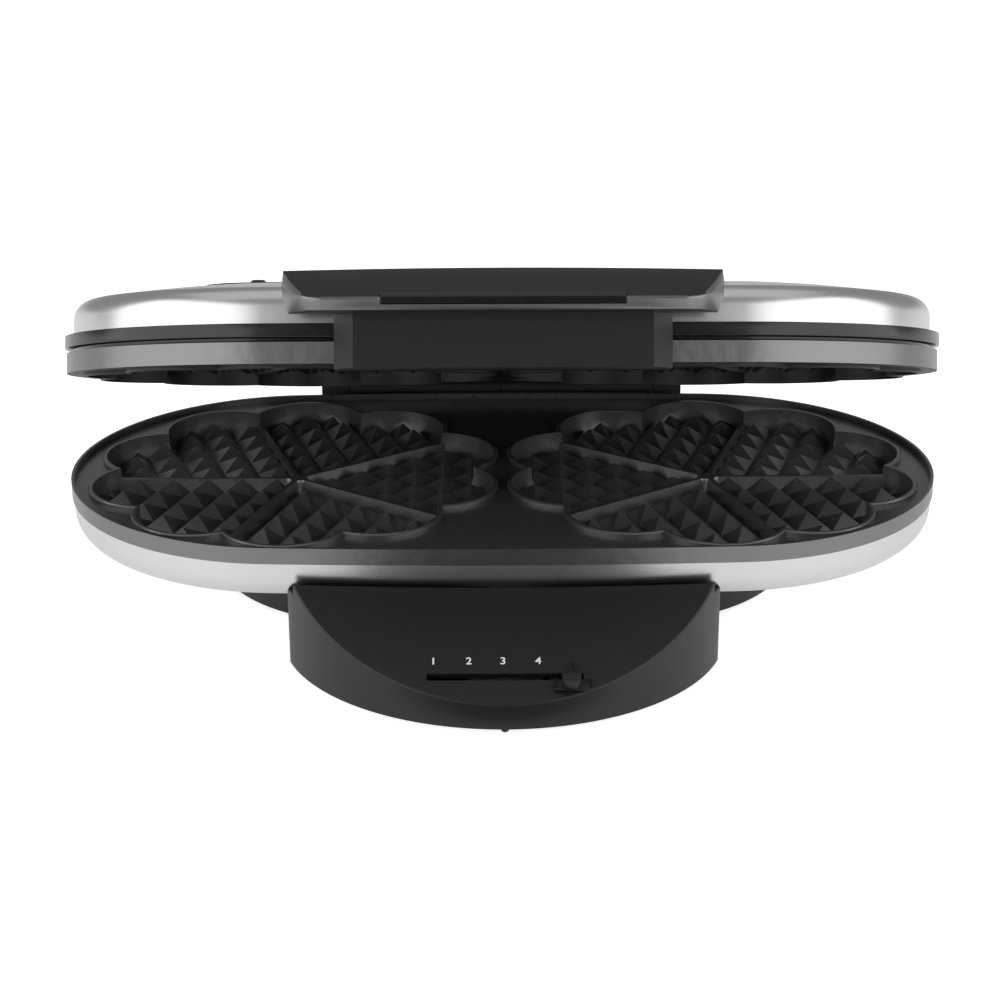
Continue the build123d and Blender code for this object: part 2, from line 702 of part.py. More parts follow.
# ---- handle ----
def handle_block():
    """Block from the front of the lid up to the grip, its front corners cut off."""
    back = bar_back + 12
    face = make_face(Polyline(
        (-block_half_width, back), (-block_half_width, block_front + 1.4 * block_chamfer),
        (block_chamfer - block_half_width, block_front), (block_half_width - block_chamfer, block_front),
        (block_half_width, block_front + 1.4 * block_chamfer), (block_half_width, back), close=True))
    body = slab(face, block_bottom, bar_bottom)
    body = chamfer([e for e in body.edges() if e.center().Z < block_bottom + 0.01], 0.8)
    body += block(-block_half_width, block_half_width, bar_back + seat_gap, back, bar_bottom,
                  bar_bottom + block_rise)
    for x in handle_screw_x:
        body -= along_y(x, bar_back + 0.3, back, side_screw_z, 1.9)
    body -= block(-100, 100, plate_front - ledge_reach, 0, block_bottom - 1, ring_low - 0.6)
    body -= slab(plate_oval(-ring_proud - seat_gap), ring_low - 2, lid_low + seat_gap)
    return body - slab(plate_oval(shell_inset - seat_gap), lid_low, 60)


def above_bar():
    """Everything above the grip's sloping top."""
    front, back = bar_front - 10, bar_back + 20
    return side_profile([
        (front, bar_lip + bar_slope * (front - bar_front)), (back, bar_lip + bar_slope * (back - bar_front)),
        (back, 80), (front, 80)], -100, 100)


def handle_bar():
    """Grip with an upright front lip and a sloping top; rounded front corners in plan."""
    depth = bar_back - bar_front
    plan = Pos(0, (bar_front + bar_back) / 2) * Rectangle(2 * bar_half_width, depth)
    corners = [v for v in plan.vertices() if v.Y < bar_front + 1]
    plan = fillet(corners, bar_corner)
    bow = Pos(0, bar_back - 1600 + 0.5) * Circle(1600)
    body = slab(plan & bow, bar_bottom, 60) - above_bar()
    top_back = bar_lip + bar_slope * depth
    tops = [e for e in body.edges() if e.center().Z > top_back - 1.5]
    body = chamfer(tops, 0.8)
    for side in (-1, 1):
        corner = Vector(side * bar_half_width, bar_back, top_back)
        lip_end = Vector(side * (bar_half_width - facet_top), bar_front, bar_lip)
        foot_end = Vector(side * (bar_half_width - facet_foot), bar_front, bar_bottom)
        outward = (lip_end - corner).cross(foot_end - corner) * side
        body -= Plane(origin=lip_end, z_dir=outward) * Pos(0, 0, 40) * Box(120, 120, 80)
    reach = inlay_half_width + inlay_gap
    return body - block(-reach, reach, bar_front - 1, bar_front + inlay_depth + inlay_gap,
                        bar_lip - inlay_height - inlay_gap, 60)


def handle_inlay():
    """Strip let into the front lip of the grip."""
    strip = block(-inlay_half_width, inlay_half_width, bar_front, bar_front + inlay_depth,
                  bar_lip - inlay_height, bar_lip + 6)
    return strip - above_bar()


save("handle_block", put_lid(handle_block()))
save("handle_bar", put_lid(handle_bar()))
save("handle_inlay", put_lid(handle_inlay()))


def handle_screw(x):
    inside = plate_front + shell_inset + sheet + 1.2
    head = along_y(x, inside, inside + 1.8, side_screw_z, slim_head)
    return head + along_y(x, inside - 9, inside, side_screw_z, 1.8)


def arm_screw(side):
    head = along_y(side * arm_middle, arm_face_y, arm_face_y + 1.6, side_screw_z, slim_head)
    return head + along_y(side * arm_middle, arm_face_y - 8.5, arm_face_y, side_screw_z, slim_screw)


handle_screws = [handle_screw(x) for x in handle_screw_x]
arm_screws = [arm_screw(side) for side in (-1, 1)]
save("handle_screws", *[put_lid(s) for s in handle_screws])
save("hinge_arm_screws", *[put_lid(s) for s in arm_screws])


# ---- lid shell and its lamps ----
lamp_y = -20.0
bezel_x, bezel_length, bezel_width = -80.0, 68.0, 24.0
bezel_sheet = 0.5
lens_top = lid_top + 0.9
lens_places = [bezel_x - 14, bezel_x + 14]
lens_radius = 3.2
lamp_z = lid_top - 4.5


def lid_shell():
    shell = lid_envelope() - lid_envelope(sheet, (0, 45, 86))
    shell -= slab(plate_oval(shell_inset + sheet), lid_low - 1, lid_low + 3)
    for x in handle_screw_x:
        shell -= along_y(x, -100, -70, side_screw_z, 2.1)
    for side in (-1, 1):
        shell -= along_y(side * arm_middle, 70, 100, side_screw_z, slim_screw + hole_play)
    for x in lens_places:
        shell -= post(x, lamp_y, 25, 50, lens_radius + 0.3)
    return shell


def lamp_bezel():
    outline = Pos(bezel_x, lamp_y) * SlotOverall(bezel_length, bezel_width)
    plate = (slab(outline, 25, 50) & lid_envelope(-bezel_sheet)) - lid_envelope(-0.02)
    for x in lens_places:
        plate -= post(x, lamp_y, 25, 50, lens_radius + 0.1)
    return plate


def lens(x):
    body = post(x, lamp_y, lamp_z, lens_top, lens_radius)
    return chamfer([e for e in body.edges() if e.center().Z > lens_top - 0.01], 0.8)


save("lid_shell", put_lid(lid_shell()))
save("lamp_bezel", put_lid(lamp_bezel()))
save("power_lens", put_lid(lens(lens_places[0])))
save("ready_lens", put_lid(lens(lens_places[1])))
lamp_low = 2 * parting - floor_top + tray_sheet
lamps = [post(x, lamp_y, lamp_low, lamp_z, lens_radius - 0.8) for x in lens_places]
save("indicator_lamps", *[put_lid(lamp) for lamp in lamps])
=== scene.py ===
import json
from math import atan, atan2, cos, hypot, pi, radians, sin

import bpy
from mathutils import Matrix, Vector

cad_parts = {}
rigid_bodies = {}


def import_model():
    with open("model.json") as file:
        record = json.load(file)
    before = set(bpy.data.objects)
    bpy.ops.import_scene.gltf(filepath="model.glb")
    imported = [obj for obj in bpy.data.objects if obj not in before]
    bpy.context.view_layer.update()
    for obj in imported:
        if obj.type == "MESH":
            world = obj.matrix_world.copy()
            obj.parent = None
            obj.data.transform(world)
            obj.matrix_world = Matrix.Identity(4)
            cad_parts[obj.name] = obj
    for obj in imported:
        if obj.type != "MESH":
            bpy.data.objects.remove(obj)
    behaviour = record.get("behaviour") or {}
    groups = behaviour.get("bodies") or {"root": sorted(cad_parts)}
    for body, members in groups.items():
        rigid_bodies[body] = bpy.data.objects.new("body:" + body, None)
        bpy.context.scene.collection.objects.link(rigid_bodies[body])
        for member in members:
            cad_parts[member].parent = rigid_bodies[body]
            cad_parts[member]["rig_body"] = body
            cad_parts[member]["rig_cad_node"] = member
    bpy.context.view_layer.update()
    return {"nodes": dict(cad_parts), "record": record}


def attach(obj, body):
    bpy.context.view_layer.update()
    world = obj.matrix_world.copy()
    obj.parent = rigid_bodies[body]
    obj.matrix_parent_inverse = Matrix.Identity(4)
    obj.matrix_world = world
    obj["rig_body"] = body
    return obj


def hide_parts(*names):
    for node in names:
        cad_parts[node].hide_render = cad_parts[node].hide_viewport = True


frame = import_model()
bpy.ops.object.select_all(action="DESELECT")

# ---- camera ----
# A long lens before the machine, a little above its open mouth and looking down on it.
AIM = Vector((-0.00105, 0.01635, 0.03351))
DISTANCE = 0.886
AZIMUTH, ELEVATION, ROLL = radians(-0.2), radians(21.03), radians(-0.165)
LENS_MM, SENSOR_MM = 79.6, 36.0
NEAREST = 0.05
to_camera = Vector((sin(AZIMUTH) * cos(ELEVATION), -cos(AZIMUTH) * cos(ELEVATION), sin(ELEVATION)))
bpy.ops.object.camera_add(location=AIM + to_camera * DISTANCE)
camera = bpy.context.object
camera.data.lens = LENS_MM
camera.data.sensor_width = SENSOR_MM
camera.data.clip_start = NEAREST
camera.rotation_euler = (to_camera.to_track_quat("Z", "Y").to_matrix()
                         @ Matrix.Rotation(ROLL, 3, "Z")).to_euler()
bpy.context.scene.camera = camera
bpy.context.scene.view_settings.view_transform = "Standard"

# ---- table, light and cards ----
# A white table in a gray room, with a long soft wall of light on each side and a weak soft box above.
# A dark card behind the camera and a dark strip on the table make the steel run from white at its
# ends to dark at its front.
TABLE_SIZE, TABLE_WHITE = 8, 0.86
GLOW_TO_EYE, GLOW_TO_GLOSS = 0.8, 0.42
ROOM_GRAY = 0.30
WALL_PLACE, WALL_SIZE, WALL_POWER, WALL_TURN = (1.15, -1.2, 0.74), (1.45, 3.0), 21, 0.26
BOX_PLACE, BOX_SIZE, BOX_POWER = (0, 0.1, 1.6), (2.2, 1.6), 4
CARD_GRAY = 0.05
BACK_CARD_PLACE, BACK_CARD_SIZE = (0, -1.5, 0.5), (1.0, 1.0)
STRIP_PLACE, STRIP_SIZE = (0, -0.58, 0.001), (0.13, 0.9)


def material(name, color, roughness, metallic=0.0):
    """A Principled material with its node tree and its shader node."""
    made = bpy.data.materials.new(name)
    made.use_nodes = True
    shader = made.node_tree.nodes["Principled BSDF"]
    shader.inputs["Base Color"].default_value = (*color, 1)
    shader.inputs["Roughness"].default_value = roughness
    shader.inputs["Metallic"].default_value = metallic
    return made, made.node_tree, shader


def seen_by_eye(tree):
    """A value that is 1 for what the camera sees, also through a clear piece, and else 0."""
    path = tree.nodes.new("ShaderNodeLightPath")
    either = tree.nodes.new("ShaderNodeMath")
    either.operation = "MAXIMUM"
    tree.links.new(path.outputs["Is Camera Ray"], either.inputs[0])
    tree.links.new(path.outputs["Is Transmission Ray"], either.inputs[1])
    return either.outputs[0]


def card(name, size, place, turn=(0, 0, 0)):
    """A flat card of that width and depth."""
    bpy.ops.mesh.primitive_plane_add(size=1, location=place, rotation=turn)
    flat_card = bpy.context.object
    flat_card.name = name
    flat_card.scale = (*size, 1)
    bpy.ops.object.transform_apply(location=False, rotation=False, scale=True)
    return flat_card


table = card("table_top", (TABLE_SIZE, TABLE_SIZE), (0, 0, 0))
white_table, tree, shader = material("white_table", (TABLE_WHITE, TABLE_WHITE, TABLE_WHITE), 0.6)
glow = tree.nodes.new("ShaderNodeEmission")
lit_and_glowing = tree.nodes.new("ShaderNodeAddShader")
strength = tree.nodes.new("ShaderNodeMath")
strength.operation = "MULTIPLY_ADD"
strength.inputs[1].default_value = GLOW_TO_EYE
in_gloss = tree.nodes.new("ShaderNodeMath")
in_gloss.operation = "MULTIPLY"
in_gloss.inputs[1].default_value = GLOW_TO_GLOSS
tree.links.new(seen_by_eye(tree), strength.inputs[0])
tree.links.new(tree.nodes["Light Path"].outputs["Is Glossy Ray"], in_gloss.inputs[0])
tree.links.new(in_gloss.outputs[0], strength.inputs[2])
tree.links.new(strength.outputs[0], glow.inputs["Strength"])
tree.links.new(shader.outputs[0], lit_and_glowing.inputs[0])
tree.links.new(glow.outputs[0], lit_and_glowing.inputs[1])
tree.links.new(lit_and_glowing.outputs[0], tree.nodes["Material Output"].inputs["Surface"])
table.data.materials.append(white_table)

room = bpy.data.worlds.new("gray_room")
room.use_nodes = True
bpy.context.scene.world = room
tree = room.node_tree
gray = tree.nodes["Background"]
gray.inputs["Color"].default_value = (1, 1, 1, 1)
gray.inputs["Strength"].default_value = ROOM_GRAY
white = tree.nodes.new("ShaderNodeBackground")
white.inputs["Color"].default_value = (1, 1, 1, 1)
white.inputs["Strength"].default_value = 1.0
white_to_eye = tree.nodes.new("ShaderNodeMixShader")
tree.links.new(seen_by_eye(tree), white_to_eye.inputs["Fac"])
tree.links.new(gray.outputs[0], white_to_eye.inputs[1])
tree.links.new(white.outputs[0], white_to_eye.inputs[2])
tree.links.new(white_to_eye.outputs[0], tree.nodes["World Output"].inputs["Surface"])


def soft_box(name, place, size, power, turn=(0, 0, 0)):
    """An area lamp of that size; unturned it shines downwards."""
    bpy.ops.object.light_add(type="AREA", location=place)
    lamp = bpy.context.object
    lamp.name = name
    lamp.data.shape = "RECTANGLE"
    lamp.data.size, lamp.data.size_y = size
    lamp.data.energy = power
    lamp.rotation_euler = turn


wall_x, wall_y, wall_z = WALL_PLACE
for side, name in ((-1, "wall_left"), (1, "wall_right")):
    soft_box(name, (side * wall_x, wall_y, wall_z), WALL_SIZE, WALL_POWER,
             (0, side * pi / 2, -side * WALL_TURN))
soft_box("box_above", BOX_PLACE, BOX_SIZE, BOX_POWER)

dark_end, tree, shader = material("dark_end", (CARD_GRAY, CARD_GRAY, CARD_GRAY), 1.0)
for dark_card in (card("card_behind_camera", BACK_CARD_SIZE, BACK_CARD_PLACE, (pi / 2, 0, 0)),
                  card("card_on_table", STRIP_SIZE, STRIP_PLACE)):
    dark_card.data.materials.append(dark_end)
    dark_card.visible_camera = False
    dark_card.visible_diffuse = False
    dark_card.visible_shadow = False
    dark_card.visible_transmission = False

# ---- baking plates ----
# Two plates cast in aluminium, their sides bare as cast and the rest coated dark against sticking.
# The edges of beads, ribs and pyramids are rounded by the mould and the coating.
nodes = frame["nodes"]
record = frame["record"]
# Pieces are drawn with the lid shut, from the middle of the joint between the plates. What belongs to
# the lid is then swung open round the hinge.
MIDDLE_Y, JOINT_Z = 0.01635, 0.0477
HINGE, LID_OPEN = Vector((0, 0.1007, 0.001)), radians(-20.35)
ON_BASE = Matrix.Translation((0, MIDDLE_Y, JOINT_Z))
ON_LID = (ON_BASE @ Matrix.Translation(HINGE) @ Matrix.Rotation(LID_OPEN, 4, "X")
          @ Matrix.Translation(-HINGE))
END_SHIFT, END_RADIUS, HALF_DEPTH, OVAL_Y = 0.0824, 0.0883, 0.0903, 0.0018
CAST_SKIN = 0.0005
PLATE_EDGE = 0.0005


def oval_arcs(inset):
    """The four arcs of the plates' outline, moved inwards: ends' radius, sides' radius and half depth."""
    end, half = END_RADIUS - inset, HALF_DEPTH - inset
    side = (END_SHIFT ** 2 + half ** 2 - end ** 2) / (2 * (half - end))
    return end, side, half


def depth_inside(point):
    """How far a point of the drawing lies inside the plates' outline."""
    end, side, half = oval_arcs(0.0)
    x, y = abs(point.x), abs(point.y - OVAL_Y)
    if x > END_SHIFT:
        return end - hypot(x - END_SHIFT, y)
    return side - hypot(x, y + side - half)


def body_of(node):
    """The body that holds a node."""
    bodies = record["behaviour"]["bodies"]
    return next(body for body, members in bodies.items() if node in members)


def ease_edges(piece, width, steps, angle):
    """Round the edges that turn by more than the angle."""
    bevel = piece.modifiers.new("eased_edges", "BEVEL")
    bevel.width = width
    bevel.segments = steps
    bevel.limit_method = "ANGLE"
    bevel.angle_limit = radians(angle)
    bpy.ops.object.modifier_apply(modifier=bevel.name)


def eased_copy(node, finishes, edge, bevel_angle, smooth_angle):
    """A CAD node's surface merged and its edges eased, with its finish, in place of the node."""
    piece = nodes[node].copy()
    piece.data = nodes[node].data.copy()
    piece.name = node + "_finished"
    piece.parent = None
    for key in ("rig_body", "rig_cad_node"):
        if key in piece:
            del piece[key]
    bpy.context.scene.collection.objects.link(piece)
    bpy.ops.object.select_all(action="DESELECT")
    piece.select_set(True)
    bpy.context.view_layer.objects.active = piece
    bpy.ops.object.mode_set(mode="EDIT")
    bpy.ops.mesh.select_all(action="SELECT")
    bpy.ops.mesh.remove_doubles(threshold=1e-6)
    bpy.ops.mesh.dissolve_limited(angle_limit=radians(0.5))
    bpy.ops.object.mode_set(mode="OBJECT")
    ease_edges(piece, edge, 2, bevel_angle)
    bpy.ops.object.shade_smooth_by_angle(angle=radians(smooth_angle))
    flats = piece.modifiers.new("level_flats", "WEIGHTED_NORMAL")
    flats.keep_sharp = True
    bpy.ops.object.modifier_apply(modifier=flats.name)
    piece.data.materials.clear()
    for finish in finishes:
        piece.data.materials.append(finish)
    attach(piece, body_of(node))
    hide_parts(node)
    return piece


def grained(tree, shader, scale, relief, depth, roughness, stretch=(1, 1, 1)):
    """Fine relief and uneven gloss from one noise on the piece's own coordinates."""
    place = tree.nodes.new("ShaderNodeTexCoord")
    fit = tree.nodes.new("ShaderNodeMapping")
    fit.inputs["Scale"].default_value = stretch
    tree.links.new(place.outputs["Object"], fit.inputs["Vector"])
    grain = tree.nodes.new("ShaderNodeTexNoise")
    grain.inputs["Scale"].default_value = scale
    grain.inputs["Detail"].default_value = 4.0
    tree.links.new(fit.outputs[0], grain.inputs["Vector"])
    bump = tree.nodes.new("ShaderNodeBump")
    bump.inputs["Strength"].default_value = relief
    bump.inputs["Distance"].default_value = depth
    tree.links.new(grain.outputs["Fac"], bump.inputs["Height"])
    tree.links.new(bump.outputs["Normal"], shader.inputs["Normal"])
    gloss_range = tree.nodes.new("ShaderNodeMapRange")
    gloss_range.inputs["To Min"].default_value, gloss_range.inputs["To Max"].default_value = roughness
    tree.links.new(grain.outputs["Fac"], gloss_range.inputs["Value"])
    tree.links.new(gloss_range.outputs[0], shader.inputs["Roughness"])


coating, tree, shader = material("dark_coating", (0.15, 0.15, 0.152), 0.3, 0.7)
shader.inputs["Specular IOR Level"].default_value = 0.8
grained(tree, shader, 900, 0.12, 0.0002, (0.24, 0.34))
# The upper plate gets a near-black copy of the coating: painted shade, for its underside that hangs in
# the lid's shadow.
shaded_coat, tree, shader = material("shade_painted_coating", (0.012, 0.012, 0.012), 0.5)
grained(tree, shader, 700, 0.15, 0.0003, (0.42, 0.60))
cast, tree, shader = material("cast_side", (0.205, 0.205, 0.207), 0.36, 1.0)
grained(tree, shader, 260, 0.22, 0.0004, (0.28, 0.40))
for node, place, coat in (("lower_plate", ON_BASE, coating), ("upper_plate", ON_LID, shaded_coat)):
    plate = eased_copy(node, (coat, cast), PLATE_EDGE, 20, 40)
    on_drawing = place.inverted()
    for face in plate.data.polygons:
        face.material_index = int(depth_inside(on_drawing @ face.center) < CAST_SKIN)

# ---- lid shell ----
# Drawn from one stainless sheet, brushed along its length: an upright wall, a turned edge and a
# shallow crown. It sits on the black ring, and the grip and the hinge arms are screwed to its wall.
SHEET = 0.0009
LID_INSET, LID_LOW, LID_WALL = 0.0028, 0.0161, 0.0064
LID_EDGE, LID_EDGE_TURN = 0.0075, radians(86)
CROWN = ((0.0102, 0.00147), (0.014, 0.00185), (0.014, 0.0015),
         (0.012, 0.00095), (0.010, 0.0005), (0.008, 0.00015))
END_STEPS, SIDE_STEPS, EDGE_STEPS = 56, 14, 10


def lone_vertex(name, place):
    """A new piece that is one vertex, left in edit mode with that vertex selected."""
    bpy.ops.object.select_all(action="DESELECT")
    bpy.ops.mesh.primitive_plane_add(size=0.001)
    piece = bpy.context.object
    piece.name = name
    bpy.ops.object.mode_set(mode="EDIT")
    bpy.ops.mesh.select_all(action="SELECT")
    bpy.ops.mesh.merge(type="CENTER")
    bpy.ops.transform.translate(value=place)
    return piece


def oval_piece(name, inset, height):
    """The plates' outline at that height, moved inwards and spun arc by arc, as a loop of edges."""
    end, side, half = oval_arcs(inset)
    turn = atan2(side - half, END_SHIFT)
    piece = lone_vertex(name, (END_SHIFT + end * cos(turn), OVAL_Y - end * sin(turn), height))
    for x, y, sweep, steps in ((END_SHIFT, 0, 2 * turn, END_STEPS),
                               (0, half - side, pi - 2 * turn, SIDE_STEPS),
                               (-END_SHIFT, 0, 2 * turn, END_STEPS),
                               (0, side - half, pi - 2 * turn, SIDE_STEPS)):
        bpy.ops.mesh.spin(steps=steps, angle=-sweep, center=(x, OVAL_Y + y, height), axis=(0, 0, 1))
    bpy.ops.mesh.select_all(action="SELECT")
    bpy.ops.mesh.remove_doubles(threshold=1e-5)
    return piece


def walled(height):
    """Pull the selected loop up or down to an upright wall and close its far end with a face."""
    bpy.ops.mesh.extrude_edges_move(TRANSFORM_OT_translate={"value": (0, 0, height)})
    bpy.ops.mesh.edge_face_add()


def drawn(levels):
    """Take the selected face through (inset, height) steps, each measured from the one before."""
    for inset, height in levels:
        bpy.ops.mesh.inset(thickness=inset, use_even_offset=True)
        bpy.ops.transform.translate(value=(0, 0, height))


def turned_edge(radius, last=pi / 2):
    """The (inset, height) steps of a rounded edge, from upright to flat."""
    angles = [last * n / EDGE_STEPS for n in range(EDGE_STEPS + 1)]
    return [(radius * (cos(a) - cos(b)), radius * (sin(b) - sin(a))) for a, b in zip(angles, angles[1:])]


def sheet_metal(piece):
    """Give the drawn surface the sheet's thickness, inwards."""
    bpy.ops.mesh.select_all(action="SELECT")
    bpy.ops.mesh.normals_make_consistent(inside=False)
    bpy.ops.object.mode_set(mode="OBJECT")
    wall = piece.modifiers.new("sheet", "SOLIDIFY")
    wall.thickness = SHEET
    wall.offset = -1
    bpy.ops.object.modifier_apply(modifier=wall.name)


def fitted(piece, place, finish, node, smooth_angle=30):
    """Stand the drawn piece in its place and give it its finish, in place of the node."""
    piece.data.transform(place)
    bpy.ops.object.shade_smooth_by_angle(angle=radians(smooth_angle))
    piece.data.materials.clear()
    piece.data.materials.append(finish)
    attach(piece, body_of(node))
    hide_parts(node)


steel, tree, shader = material("brushed_sheet", (0.64, 0.64, 0.645), 0.28, 1.0)
grained(tree, shader, 260, 0.0, 0.0001, (0.26, 0.31), (0.03, 1, 1))

lid = oval_piece("lid_sheet", LID_INSET, LID_LOW)
walled(LID_WALL)
drawn(turned_edge(LID_EDGE, LID_EDGE_TURN))
drawn(CROWN)
sheet_metal(lid)
fitted(lid, ON_LID, steel, "lid_shell")

# ---- lower shell ----
# A dish of the same sheet under the lower plate: upright wall, turned edge and a floor set lower.
# The two long screws clamp it against the plate's wall.
DISH_INSET, DISH_TOP, DISH_WALL, DISH_EDGE = 0.0008, -0.0057, 0.0057, 0.009
DISH_FLOOR = ((0.003, -0.0001), (0.0095, -0.003))
dish = oval_piece("base_sheet", DISH_INSET, DISH_TOP)
walled(-DISH_WALL)
drawn([(inset, -height) for inset, height in turned_edge(DISH_EDGE)])
drawn(DISH_FLOOR)
sheet_metal(dish)
fitted(dish, ON_BASE, steel, "lower_shell")

# ---- mouldings ----
# Black plastic with a fine satin grain for the pan, the housing, the cord's gland, the hinge and the
# grip's block, and a glossier one for the grip's inlay and the bezel round the lamps.
MOULDED_EDGE = 0.0003
satin, tree, shader = material("satin_plastic", (0.010, 0.010, 0.011), 0.45)
shader.inputs["Specular IOR Level"].default_value = 0.4
grained(tree, shader, 1500, 0.10, 0.0001, (0.36, 0.48))
gloss, tree, shader = material("trim_plastic", (0.008, 0.008, 0.009), 0.22)
grained(tree, shader, 500, 0.03, 0.0001, (0.17, 0.27))
plastics = {"black_plastic": satin, "trim_black": gloss}
remodelled = ("lid_trim_ring", "handle_bar", "slider_knob")
for subpart in record["subparts"]:
    node, slot = subpart["node"], subpart["material_slot"]
    if slot in plastics and node not in remodelled:
        smooth_angle = 20 if node == "control_housing" else 35
        eased_copy(node, (plastics[slot],), MOULDED_EDGE, 25, smooth_angle)

# ---- trim ring ----
# Glossy black moulding between the lid's sheet and its plate. It stands on the plate's wall on a
# narrow foot set inwards, which leaves a dark shadow gap all round.
RING_OUT, RING_LOW, RING_HEIGHT = 0.0007, 0.0112, 0.0049
RING_SEAT = ((0.004, 0.0), (0.0057, 0.002))
GAP_DEPTH, GAP_HEIGHT, FOOT_WIDTH = 0.0037, 0.0017, 0.006
ring = oval_piece("trim_ring", -RING_OUT, RING_LOW)
walled(RING_HEIGHT)
drawn(RING_SEAT)
bpy.ops.mesh.delete(type="FACE")
bpy.ops.object.mode_set(mode="OBJECT")
oval_piece("trim_ring_foot", -RING_OUT, RING_LOW)
bpy.ops.mesh.edge_face_add()
drawn(((GAP_DEPTH, 0.0),))
bpy.ops.mesh.extrude_region_move(TRANSFORM_OT_translate={"value": (0, 0, -GAP_HEIGHT)})
drawn(((FOOT_WIDTH, 0.0),))
bpy.ops.mesh.delete(type="FACE")
bpy.ops.object.mode_set(mode="OBJECT")
ring.select_set(True)
bpy.context.view_layer.objects.active = ring
bpy.ops.object.join()
bpy.ops.object.mode_set(mode="EDIT")
bpy.ops.mesh.select_all(action="SELECT")
bpy.ops.mesh.remove_doubles(threshold=1e-5)
bpy.ops.mesh.normals_make_consistent(inside=False)
bpy.ops.object.mode_set(mode="OBJECT")
ease_edges(ring, MOULDED_EDGE, 3, 40)
fitted(ring, ON_LID, gloss, "lid_trim_ring")

# ---- grip ----
# Satin black moulding screwed on its block. Its top slopes to an upright lip; at both ends the top
# is cut back on a curve. Lip and ends, the faces that look to the front or sideways, take a lighter gray
# metallic finish that is painted sheen for the lamps' reflection there; the inlay sits in a slot of the
# lip.
# Loops of the left end, in millimetres, from its back corner to the lip.
GRIP_TOP = [(-77.5, -95.8), (-76.5, -98.0), (-75.0, -101.2), (-73.1, -104.8), (-71.2, -108.2),
            (-69.5, -110.8), (-68.1, -112.4), (-66.2, -113.5), (-63.0, -114.0)]
GRIP_WAIST = [(-78.0, -95.8, 29.0), (-77.1, -98.2, 28.3), (-75.7, -101.4, 27.2),
              (-74.0, -105.0, 25.9), (-72.0, -108.4, 24.7), (-70.3, -111.0, 23.8),
              (-68.7, -112.7, 23.2), (-66.7, -113.8, 22.8), (-63.1, -114.2, 22.4)]
GRIP_SKIRT = [(-77.6, -95.8, 24.0), (-76.7, -98.1, 23.7), (-75.3, -101.3, 23.2),
              (-73.6, -104.8, 22.7), (-71.6, -108.1, 22.2), (-69.9, -110.6, 21.8),
              (-68.3, -112.2, 21.5), (-66.4, -113.2, 21.3), (-63.0, -113.7, 21.1)]
GRIP_FOOT = [(-75.8, -95.8), (-74.9, -97.9), (-73.6, -100.8), (-71.9, -104.1), (-70.0, -107.2),
             (-68.3, -109.5), (-66.9, -111.0), (-65.0, -112.0), (-62.0, -112.4)]
BACK_Y, BACK_BOW = -94.0, 3200
GRIP_BACK = [(x, BACK_Y - x * x / BACK_BOW) for x in range(60, -61, -15)]
BACK_WAIST, BACK_SKIRT, GRIP_LOW = 28.0, 23.0, 18.7
LIP_Y, LIP_TOP, TOP_SLOPE = -114.0, 23.4, 0.585
SLOT_PLACE, SLOT_SIZE = (0, -0.11343, 0.0275), (0.0851, 0.00516, 0.0135)
GRIP_EDGE = 0.0005


def both_ends(end, back):
    """A closed outline in metres: the left end, its mirror, and the back from right to left."""
    points = end + [(-x, *rest) for x, *rest in reversed(end)] + back
    return [Vector(point) / 1000 for point in points]


def on_slope(points):
    return [(x, y, LIP_TOP + TOP_SLOPE * (y - LIP_Y)) for x, y in points]


def level_with(points, height):
    return [(x, y, height) for x, y in points]


def pulled_on(piece, here, there):
    """Extrude the selected loop and take each of its vertices from its place here to the one there."""
    bpy.ops.mesh.extrude_edges_move(TRANSFORM_OT_translate={"value": (0, 0, 0)})
    bpy.ops.object.mode_set(mode="OBJECT")
    for vertex in piece.data.vertices:
        if vertex.select:
            nearest = min(range(len(here)), key=lambda n: (vertex.co - here[n]).length)
            vertex.co = there[nearest]
    bpy.ops.object.mode_set(mode="EDIT")


top = both_ends(on_slope(GRIP_TOP), on_slope(GRIP_BACK))
waist = both_ends(GRIP_WAIST, level_with(GRIP_BACK, BACK_WAIST))
skirt = both_ends(GRIP_SKIRT, level_with(GRIP_BACK, BACK_SKIRT))
low = both_ends(level_with(GRIP_FOOT, GRIP_LOW), level_with(GRIP_BACK, GRIP_LOW))
grip = lone_vertex("grip", top[0])
for start, end in zip(top, top[1:] + top[:1]):
    bpy.ops.mesh.extrude_region_move(TRANSFORM_OT_translate={"value": end - start})
bpy.ops.mesh.select_all(action="SELECT")
bpy.ops.mesh.remove_doubles(threshold=1e-5)
bpy.ops.mesh.edge_face_add()
bpy.ops.mesh.select_mode(type="EDGE")
bpy.ops.mesh.select_all(action="SELECT")
for here, there in ((top, waist), (waist, skirt), (skirt, low)):
    pulled_on(grip, here, there)
bpy.ops.mesh.edge_face_add()
bpy.ops.mesh.select_all(action="SELECT")
bpy.ops.mesh.normals_make_consistent(inside=False)
bpy.ops.mesh.select_mode(type="VERT")
bpy.ops.object.mode_set(mode="OBJECT")
bpy.ops.object.select_all(action="DESELECT")
bpy.ops.mesh.primitive_cube_add(size=1, location=SLOT_PLACE, scale=SLOT_SIZE)
slot_cutter = bpy.context.object
slot_cut = grip.modifiers.new("inlay_slot", "BOOLEAN")
slot_cut.object = slot_cutter
slot_cut.operation = "DIFFERENCE"
bpy.context.view_layer.objects.active = grip
bpy.ops.object.modifier_apply(modifier=slot_cut.name)
bpy.data.objects.remove(slot_cutter)
ease_edges(grip, GRIP_EDGE, 3, 35)
bpy.ops.object.select_all(action="DESELECT")
grip.select_set(True)
fitted(grip, ON_LID, satin, "handle_bar", 28)
painted_sheen, tree, shader = material("lip_painted_sheen", (0.21, 0.21, 0.212), 0.36, 1.0)
grained(tree, shader, 1500, 0.05, 0.0001, (0.32, 0.42))
grip.data.materials.append(painted_sheen)
